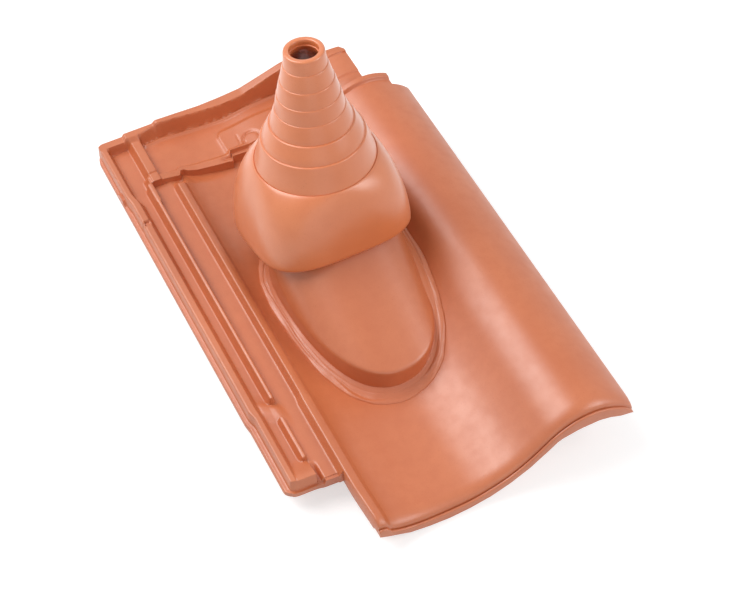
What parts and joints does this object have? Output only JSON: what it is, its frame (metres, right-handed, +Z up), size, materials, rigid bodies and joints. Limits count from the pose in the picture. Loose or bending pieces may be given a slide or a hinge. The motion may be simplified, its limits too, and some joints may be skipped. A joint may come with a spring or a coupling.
{
  "type": "antenna roof tile",
  "caption": "Interlocking clay pantile with a raised clay hood and a stepped flexible cap that seals an antenna mast or a cable where it passes through the roof.",
  "frame": {"origin": "middle of the tile's plan outline, on the surface that the tile rests on", "axes": "+Y from the foot (lower edge on the roof) to the head, +X from the side lock to the roll, +Z up out of the roof"},
  "size_m": [0.274, 0.457, 0.2475],
  "materials": {
    "fired_clay": "satin engobe",
    "moulded_cap": "semi-gloss"
  },
  "bodies": {
    "root": {"clay_tile": "fired_clay", "flexible_cap": "moulded_cap"}
  },
  "joints": []
}
